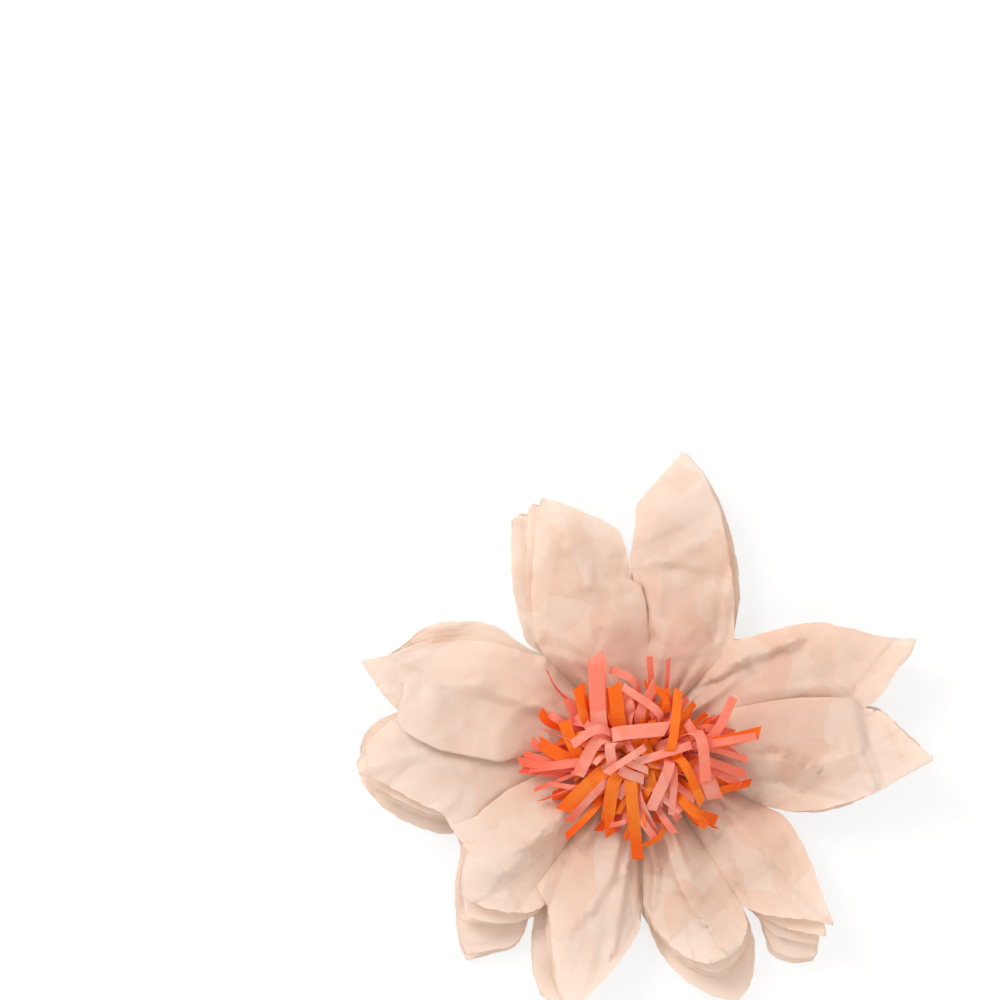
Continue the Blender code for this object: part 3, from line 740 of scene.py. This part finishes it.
# %% Strips that show
# sheet, x and y where it comes into view, x and y of its tip (px), width (px), both heights (mm), roll (deg)
KEY_STRIPS = (
    (3, 600, 731, 594, 653, 16, 64, 74, 0), (3, 605, 712, 603, 655, 4, 62, 75, 0),
    (2, 619, 727, 613, 682, 14, 62, 71, 0), (2, 588, 724, 576, 685, 9, 58, 67, 0),
    (3, 583, 727, 567, 697, 10, 48, 56, 20), (0, 580, 754, 563, 719, 12, 60, 61, 0),
    (1, 565, 722, 549, 712, 7, 56, 57, 0), (1, 561, 693, 546, 668, 7, 50, 62, 78),
    (0, 553, 723, 540, 710, 9, 48, 50, 10), (0, 574, 758, 540, 742, 13, 57, 54, 0),
    (1, 545, 747, 532, 739, 8, 50, 51, 0), (3, 598, 725, 571, 740, 9, 79, 80, 0),
    (3, 573, 765, 519, 760, 9, 55, 48, 8), (1, 572, 771, 521, 768, 8, 50, 46, -10),
    (1, 562, 760, 524, 752, 6, 52, 49, 0), (3, 597, 736, 577, 772, 12, 76, 68, 0),
    (1, 602, 752, 593, 760, 6, 72, 74, 30), (3, 609, 740, 610, 760, 10, 79, 75, 0),
    (3, 641, 744, 604, 769, 7, 80, 77, 0), (1, 624, 757, 646, 767, 7, 74, 72, 0),
    (3, 619, 766, 642, 776, 10, 72, 68, 5), (3, 612, 731, 665, 725, 14, 75, 77, 0),
    (3, 658, 712, 621, 684, 8, 68, 72, 0), (1, 634, 682, 608, 667, 8, 62, 66, 0),
    (0, 650, 702, 643, 679, 4, 56, 60, 30), (2, 668, 744, 676, 687, 9, 80, 72, 0),
    (1, 651, 700, 648, 655, 7, 48, 58, 25), (1, 664, 694, 667, 657, 5, 48, 57, 35),
    (3, 707, 736, 731, 695, 9, 64, 66, 0), (3, 702, 741, 753, 733, 8, 72, 67, 0),
    (0, 716, 739, 757, 730, 12, 66, 63, 0), (3, 695, 730, 703, 777, 11, 81, 72, 0),
    (3, 700, 772, 713, 796, 16, 66, 58, 0), (3, 688, 741, 634, 758, 8, 77, 74, 0),
    (1, 691, 736, 684, 719, 9, 68, 70, 0), (3, 667, 760, 649, 807, 11, 74, 62, 0),
    (1, 671, 764, 670, 812, 7, 70, 58, 0), (1, 669, 803, 678, 817, 9, 55, 52, 0),
    (2, 679, 757, 700, 800, 9, 75, 63, 0), (0, 674, 794, 714, 826, 8, 56, 51, 66),
    (0, 647, 764, 646, 803, 7, 62, 55, 0), (2, 629, 780, 637, 857, 12, 70, 50, 0),
    (2, 613, 777, 606, 819, 13, 70, 57, 0), (2, 598, 771, 562, 808, 14, 68, 54, 0),
    (0, 575, 786, 557, 791, 9, 50, 49, 0), (0, 599, 786, 595, 802, 10, 54, 52, 0),
    (1, 572, 773, 534, 788, 4, 53, 49, 0), (1, 617, 800, 634, 818, 8, 52, 49, 0),
    (1, 618, 808, 614, 830, 8, 47, 46, 15), (1, 700, 757, 744, 773, 9, 60, 52, 0),
    (1, 704, 766, 739, 783, 8, 56, 50, 0), (0, 700, 776, 731, 781, 8, 52, 50, 20),
    (0, 655, 795, 658, 821, 9, 52, 48, 0), (1, 703, 745, 745, 757, 6, 64, 58, 0),
)
STRIP_SECTIONS = 22

# %% [markdown]
# Other strips fill the crowd. They are seeded, start on a ring round the middle and end on a wider one,
# and lie a little below the crowd's top, deeper in the middle than outside.

# %% Strips that fill the depths
# middle of the crowd of strips, and its top in mm by distance from there in px
FRINGE_CENTRE = np.array((638.0, 756.0))
CROWN = ((0, 35, 65, 95, 122), (79, 75, 68, 59, 49))
FILLERS = 42
FILLER_SHEETS = (0, 0, 1, 2, 2, 3)
FILLER_WIDTHS = (5, 11)
FILLER_LEAST_LENGTH = 12


def filler_strips(seed, inner, outer, depth):
    """Seeded strips in all directions, in the same form as the key strips.

    `inner` and `outer` are ranges in px where they come into view and end, `depth` how far in mm they lie
    below the crown. Those that point up in the picture are shorter.
    """
    rng = np.random.default_rng(seed)
    count = FILLERS
    angle = np.linspace(0, 360, count, endpoint=False) + rng.normal(0, 8, count)
    first = rng.uniform(*inner, count)
    up = np.sin(np.radians(angle))
    last = rng.uniform(*outer, count) * (1 - 0.12 * up**2 - 0.20 * np.clip(up, 0, 1))
    start = FRINGE_CENTRE + polar(-angle, np.minimum(first, last - FILLER_LEAST_LENGTH))
    tip = FRINGE_CENTRE + polar(-angle + np.clip(rng.normal(0, 12, count), -16, 16), last)
    below = rng.uniform(*depth, (2, count))
    return np.column_stack((
        rng.choice(FILLER_SHEETS, count), start, tip, rng.uniform(*FILLER_WIDTHS, count),
        np.interp(first, *CROWN) - below[0], np.interp(last, *CROWN) - below[1], rng.normal(0, 30, count),
    ))


STRIPS = np.concatenate((
    np.array(KEY_STRIPS, float),
    filler_strips(11, (14, 40), (45, 80), (10, 24)),
    filler_strips(12, (30, 60), (68, 100), (8, 18)),
    filler_strips(13, (45, 75), (88, 118), (3, 10))[::2],
    filler_strips(14, (5, 25), (20, 50), (8, 22)),
))
print(len(KEY_STRIPS), "key strips and", len(STRIPS) - len(KEY_STRIPS), "filler strips")


# %% [markdown]
# A strip is a ribbon along a curve. It stands up from the tie, bends over where it comes into view and
# runs out to its tip, and it twists on the way from lying across the tie to lying across its own course.

# %% Strip surfaces
# lowest heights of a strip by distance from the axis, which keep it above the petals, and the highest one
STRIP_FLOOR = ((0.006, 0.02, 0.04, 0.06, 0.08, 0.11), (0.0, 0.016, 0.030, 0.039, 0.044, 0.046))
STRIP_TOP = 0.0815
# widths at the root as a share of the full one, and slant of the cut as a share of half the width
ROOT_WIDTH = 0.12
CUT_SLANT = 0.8


def unit(v):
    """Vectors along the last axis, each divided by its length."""
    return v / np.linalg.norm(v, axis=-1, keepdims=True)


def middle_lines(root, seen, tip, u):
    """Catmull-Rom curves through the root, a point above it, the point of coming into view and the tip."""
    rise = root + (seen - root) * (0.38, 0.38, 0.62)
    before = root - (rise - root) * (1.0, 1.0, 0.4)
    beyond = tip + (tip - seen) * (0.6, 0.6, 0.2) - (0, 0, 0.006)
    knots = np.stack((before, root, rise, seen, tip, beyond), axis=1)
    k = np.minimum(u.astype(int), 2)
    t = (u - k)[None, :, None]
    a, b, c, d = (knots[:, k + i] for i in range(4))
    bend = (2 * a - 5 * b + 4 * c - d) * t**2 + (3 * b - a - 3 * c + d) * t**3
    line = 0.5 * (2 * b + (c - a) * t + bend)
    lowest = np.interp(np.hypot(line[..., 0], line[..., 1]), *STRIP_FLOOR)
    line[..., 2] = np.minimum(np.maximum(line[..., 2], lowest), STRIP_TOP)
    return line


def strip_vertices(table, layer):
    """Closed flat strips as an array of strips, sections and four corners.

    The width turns from across the root to across the visible part, and grows to full by the middle of the
    strip. The last section is slanted, as scissors leave it.
    """
    count = len(table)
    x0, y0 = plan(table[:, 1:3]).T
    x1, y1 = plan(table[:, 3:5]).T
    z0, z1 = table[:, 6:8].T / 1000
    side = np.where(x0 + x1 >= 0, 1.0, -1.0)
    across = np.clip((y0 + y1) / 0.14, -1, 1) * WAIST_WIDTH * 0.46
    sheet = PETAL_LAYERS + layer
    root = np.stack((side * waist_end(sheet), across, np.full(count, waist_height(sheet))), axis=-1)
    seen = np.stack((x0, y0, z0), axis=-1)
    tip = np.stack((x1, y1, z1), axis=-1)
    u = np.linspace(0, 3, STRIP_SECTIONS)
    line = middle_lines(root, seen, tip, u)
    along = unit(np.gradient(line, axis=1))
    share = smooth(u / 2.0)[None, :, None]
    wide_root = np.stack((-root[:, 1] * 4, side * 0.02, np.zeros(count)), axis=-1)
    view = tip - seen
    wide_tip = np.stack((-view[:, 1], view[:, 0], np.zeros(count)), axis=-1)
    same = np.sign(np.sum(wide_root * wide_tip, axis=-1, keepdims=True))
    wide_tip = unit(wide_tip * np.where(same == 0, 1, same))
    wide = unit(wide_root)[:, None] * (1 - share) + wide_tip[:, None] * share
    wide = unit(wide - along * np.sum(wide * along, axis=-1, keepdims=True))
    normal = np.cross(along, wide)
    roll = np.radians(table[:, 8])[:, None, None] * share
    turned = wide * np.cos(roll) + normal * np.sin(roll)
    wide, normal = turned, normal * np.cos(roll) - wide * np.sin(roll)
    growth = ROOT_WIDTH + (1 - ROOT_WIDTH) * smooth(u / 1.5)
    half = table[:, 5, None, None] * PIXEL / 2 * growth[None, :, None]
    thick = normal * PAPER / 2
    slant = np.zeros_like(line)
    cut = np.random.default_rng(layer).uniform(-CUT_SLANT, CUT_SLANT, (count, 1))
    slant[:, -1] = along[:, -1] * half[:, -1] * cut
    left, right = line - wide * half - slant, line + wide * half + slant
    return np.stack((left - thick, right - thick, right + thick, left + thick), axis=2)


def strip_faces(count):
    """Quads round each strip from section to section, and one at each end."""
    ring = np.arange(4)
    section = np.arange(STRIP_SECTIONS - 1)[:, None] * 4
    near, far = section + ring, section + (ring + 1) % 4
    sides = np.stack((near, far, far + 4, near + 4), axis=-1)
    last = (STRIP_SECTIONS - 1) * 4
    ends = np.array([[3, 2, 1, 0], [last, last + 1, last + 2, last + 3]])
    one = np.concatenate((sides.reshape(-1, 4), ends))
    return (np.arange(count)[:, None, None] * STRIP_SECTIONS * 4 + one).reshape(-1, 4)


SLAB_CORNERS = ((-1, -1), (1, -1), (1, 1), (-1, 1))


def hub(layer):
    """The flat middle of a fringe sheet under the tie, as a closed slab."""
    sheet = PETAL_LAYERS + layer
    x, y, z, up = waist_end(sheet), WAIST_WIDTH / 2, waist_height(sheet), PAPER / 2
    corners = np.array([(i * x, j * y, z + k * up) for k in (-1, 1) for i, j in SLAB_CORNERS])
    quads = np.array([(3, 2, 1, 0), (4, 5, 6, 7), (0, 1, 5, 4), (1, 2, 6, 5), (2, 3, 7, 6), (3, 0, 4, 7)])
    return corners, quads


# %% [markdown]
# Orange and salmon sheets take turns. Their strips are flat shaded, because cut paper has sharp edges.

# %% Fringe sheets
for layer, material in enumerate((orange, salmon, orange, salmon)):
    own = STRIPS[STRIPS[:, 0] == layer]
    corners, quads = hub(layer)
    vertices = np.concatenate((corners, strip_vertices(own, layer).reshape(-1, 3)))
    faces = np.concatenate((quads, strip_faces(len(own)) + len(corners)))
    piece = add_piece(f"fringe_{layer + 1}", vertices, faces, material, f"fringe_sheet_{layer + 1}")
    piece.data.polygons.foreach_set("use_smooth", np.zeros(len(piece.data.polygons), bool))

# %% [markdown]
# The band round the waist is all but hidden. Its CAD node has the right shape, so it only gets paper.

# %% Band
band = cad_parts["binding_band"]
band.data.materials.clear()
band.data.materials.append(cream)

# %% [markdown]
# The flower lies face up on a white table, and the camera looks straight down through a long lens, as
# the picture was taken. The table is a large plane just under the flower. It is lit like everything else
# and keeps the shadow. Seen by the camera, in gloss or through the paper it glows a little and reads white.

# %% Table
TABLE_DEPTH = -0.001
TABLE_REACH = 4.0
GLOW_SHARE = 0.72
GLOW = 1.04


def table_material():
    """Matt white lacquer, mixed with an even glow for the rays of sight and left alone for the light."""
    material = bpy.data.materials.new("White table, matt lacquer")
    material.use_nodes = True
    tree = material.node_tree
    tree.nodes.clear()
    place = add_node(tree, "ShaderNodeTexCoord").outputs["Object"]
    grain = add_node(tree, "ShaderNodeTexNoise", inputs={"Scale": 3.0, "Detail": 2}, links={"Vector": place})
    tone = add_node(tree, "ShaderNodeMix", {"data_type": "RGBA"}, links={0: grain.outputs[0]})
    tone.inputs["A"].default_value = linear("F7F7F7")
    tone.inputs["B"].default_value = linear("FAFAFA")
    matt = add_node(tree, "ShaderNodeBsdfPrincipled", inputs={"Roughness": 0.9, "Specular IOR Level": 0.1})
    tree.links.new(tone.outputs["Result"], matt.inputs["Base Color"])
    path = add_node(tree, "ShaderNodeLightPath")
    seen = path.outputs["Is Camera Ray"]
    for kind in ("Is Glossy Ray", "Is Transmission Ray"):
        either = {0: seen, 1: path.outputs[kind]}
        seen = add_node(tree, "ShaderNodeMath", {"operation": "MAXIMUM"}, links=either).outputs[0]
    level = add_node(tree, "ShaderNodeMath", {"operation": "MULTIPLY"}, {1: GLOW_SHARE}, {0: seen})
    shine = add_node(tree, "ShaderNodeEmission", inputs={"Strength": GLOW})
    both = {0: level.outputs[0], 1: matt.outputs[0], 2: shine.outputs[0]}
    both = add_node(tree, "ShaderNodeMixShader", links=both)
    add_node(tree, "ShaderNodeOutputMaterial", links={"Surface": both.outputs[0]})
    return material


table_data = bpy.data.meshes.new("table")
corners = [(i * TABLE_REACH, j * TABLE_REACH, TABLE_DEPTH) for i, j in SLAB_CORNERS]
table_data.from_pydata(corners, [], [(0, 1, 2, 3)])
table_data.materials.append(table_material())
table = bpy.data.objects.new("table", table_data)
bpy.context.scene.collection.objects.link(table)

# %% [markdown]
# The light is that of a bright studio: one large soft lamp above and to the upper left, a weaker one
# opposite, and a pale room all round. Their sum gives a white surface a value just under one.

# %% Light and camera
def soft_lamp(name, place, size, power):
    """A square area lamp that faces the flower."""
    lamp = bpy.data.lights.new(name, "AREA")
    lamp.size = size
    lamp.energy = power
    obj = bpy.data.objects.new(name, lamp)
    obj.location = place
    obj.rotation_euler = (-Vector(place)).to_track_quat("-Z", "Y").to_euler()
    bpy.context.scene.collection.objects.link(obj)
    return obj


soft_lamp("key", (-1.3, 1.4, 1.7), 1.1, 36)
soft_lamp("fill", (1.5, -1.1, 2.2), 2.0, 12)

world = bpy.data.worlds.new("room")
bpy.context.scene.world = world
world.use_nodes = True
world.node_tree.nodes["Background"].inputs["Color"].default_value = linear("FFFDFA")
world.node_tree.nodes["Background"].inputs["Strength"].default_value = 0.73

# the picture is 1000 px wide, and its scale holds at the height of the petals' middles
FRAME_WIDTH = 1000 * PIXEL
PICTURE_MIDDLE = (-0.12, 0.21425)
PETAL_HEIGHT = 0.03
CAMERA_HEIGHT = 3.0
SENSOR = 36.0
camera_data = bpy.data.cameras.new("camera")
camera_data.sensor_width = SENSOR
camera_data.lens = SENSOR * (CAMERA_HEIGHT - PETAL_HEIGHT) / FRAME_WIDTH
camera = bpy.data.objects.new("camera", camera_data)
camera.location = (*PICTURE_MIDDLE, CAMERA_HEIGHT)
bpy.context.scene.collection.objects.link(camera)
bpy.context.scene.camera = camera
bpy.context.scene.view_settings.view_transform = "Standard"
